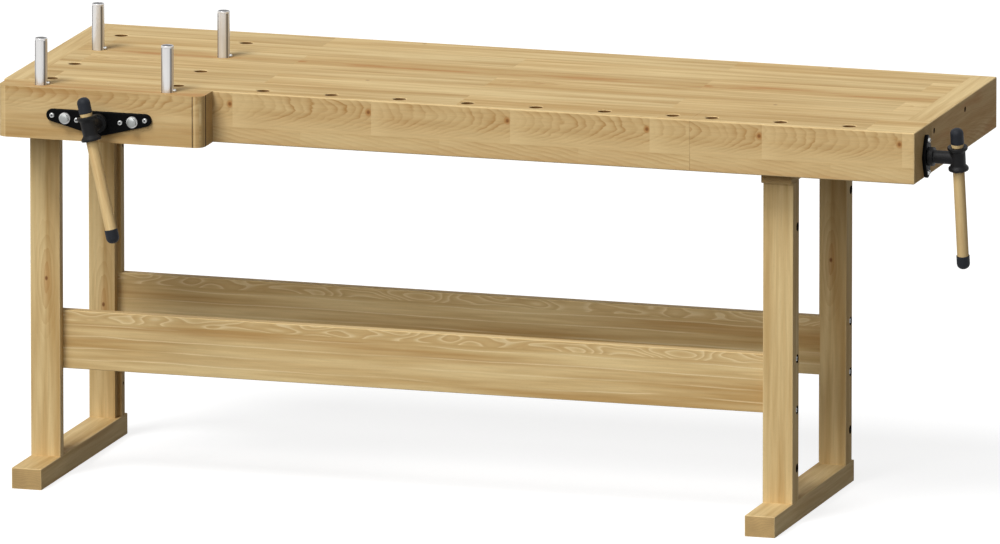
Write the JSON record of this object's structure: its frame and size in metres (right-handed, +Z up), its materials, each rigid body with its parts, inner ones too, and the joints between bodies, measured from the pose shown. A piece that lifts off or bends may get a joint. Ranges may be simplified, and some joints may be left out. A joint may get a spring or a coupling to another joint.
{
  "type": "woodworking bench",
  "caption": "Beech woodworking bench on a trestle frame, with a screw-driven front jaw, a screw-driven tail jaw, rows of round dog holes and lifting round dogs.",
  "frame": {"origin": "on the floor, under the middle of the bounding box at rest", "axes": "+X along the bench towards the tail vise, +Y from the front to the back, +Z up"},
  "size_m": [2.0934, 0.7954, 0.97],
  "materials": {
    "beech_top": "oiled",
    "beech_frame": "oiled",
    "beech_jaw": "oiled",
    "beech_handle": "oiled",
    "beech_peg": "raw",
    "black_iron": "textured black paint",
    "bright_steel": "turned",
    "zinc_steel": "zinc plated",
    "rubber": "matt",
    "bronze": "machined"
  },
  "bodies": {
    "bench": {"left_end_cap": "beech_top", "right_end_cap": "beech_top", "front_rail": "beech_top", "rear_rail": "beech_top", "top_board_front": "beech_top", "top_board_middle": "beech_top", "top_board_rear": "beech_top", "tail_cheek": "beech_top", "fixed_jaw_block": "beech_top", "left_foot": "beech_frame", "right_foot": "beech_frame", "left_front_post": "beech_frame", "left_rear_post": "beech_frame", "right_front_post": "beech_frame", "right_rear_post": "beech_frame", "left_head_rail": "beech_frame", "right_head_rail": "beech_frame", "front_stretcher": "beech_frame", "rear_stretcher": "beech_frame", "stretcher_bolts": "zinc_steel", "end_cap_bolts": "zinc_steel", "cross_nuts": "zinc_steel", "locating_pegs": "beech_peg", "front_guide_casting": "black_iron", "front_nut": "bronze", "tail_guide_casting": "black_iron", "tail_nut": "bronze", "casting_screws": "zinc_steel"},
    "front_jaw": {"front_chop": "beech_jaw", "front_flange": "black_iron", "front_flange_screws": "zinc_steel", "front_guide_bolts": "zinc_steel", "front_guide_rods": "bright_steel", "front_rod_stops": "bright_steel"},
    "front_screw": {"front_screw": "bright_steel", "front_screw_head": "black_iron", "front_garter": "bright_steel"},
    "front_handle": {"front_handle": "beech_handle", "front_handle_caps": "rubber"},
    "tail_jaw": {"tail_front_board": "beech_jaw", "tail_jaw_block": "beech_jaw", "tail_end_block": "beech_jaw", "tail_cover_board": "beech_jaw", "tail_flange": "black_iron", "tail_flange_screws": "zinc_steel", "tail_guide_rods": "bright_steel"},
    "tail_screw": {"tail_screw": "bright_steel", "tail_screw_head": "black_iron", "tail_garter": "bright_steel"},
    "tail_handle": {"tail_handle": "beech_handle", "tail_handle_caps": "rubber"},
    "left_jaw_dog": {"left_jaw_dog": "bright_steel", "left_jaw_dog_pin": "bright_steel"},
    "right_jaw_dog": {"right_jaw_dog": "bright_steel", "right_jaw_dog_pin": "bright_steel"},
    "left_top_dog": {"left_top_dog": "bright_steel", "left_top_dog_pin": "bright_steel"},
    "right_top_dog": {"right_top_dog": "bright_steel", "right_top_dog_pin": "bright_steel"}
  },
  "joints": [
    {"name": "front_jaw_slide", "type": "slide", "parent": "bench", "child": "front_jaw", "axis": [0, -1, 0], "range_m": [0, 0.15]},
    {"name": "front_screw_turn", "type": "hinge", "parent": "front_jaw", "child": "front_screw", "pos_m": [-0.81175, -0.37625, 0.804], "axis": [0, -1, 0], "range_deg": [0, 9000]},
    {"name": "front_handle_slide", "type": "slide", "parent": "front_screw", "child": "front_handle", "axis": [-0.2164, 0, 0.9763], "range_m": [0, 0.19]},
    {"name": "tail_jaw_slide", "type": "slide", "parent": "bench", "child": "tail_jaw", "axis": [1, 0, 0], "range_m": [0, 0.15]},
    {"name": "tail_screw_turn", "type": "hinge", "parent": "tail_jaw", "child": "tail_screw", "pos_m": [1.02525, -0.15225, 0.806], "axis": [1, 0, 0], "range_deg": [0, 9000]},
    {"name": "tail_handle_slide", "type": "slide", "parent": "tail_screw", "child": "tail_handle", "axis": [0, -0.1822, 0.9833], "range_m": [0, 0.19]},
    {"name": "left_jaw_dog_lift", "type": "slide", "parent": "front_jaw", "child": "left_jaw_dog", "axis": [0, 0, 1], "range_m": [0, 0.1]},
    {"name": "right_jaw_dog_lift", "type": "slide", "parent": "front_jaw", "child": "right_jaw_dog", "axis": [0, 0, 1], "range_m": [0, 0.1]},
    {"name": "left_top_dog_lift", "type": "slide", "parent": "bench", "child": "left_top_dog", "axis": [0, 0, 1], "range_m": [0, 0.1]},
    {"name": "right_top_dog_lift", "type": "slide", "parent": "bench", "child": "right_top_dog", "axis": [0, 0, 1], "range_m": [0, 0.1]}
  ],
  "couplings": [
    {"joint": "front_jaw_slide", "follows": "front_screw_turn", "m_per_rad": 0.00095493},
    {"joint": "tail_jaw_slide", "follows": "tail_screw_turn", "m_per_rad": 0.00095493}
  ]
}
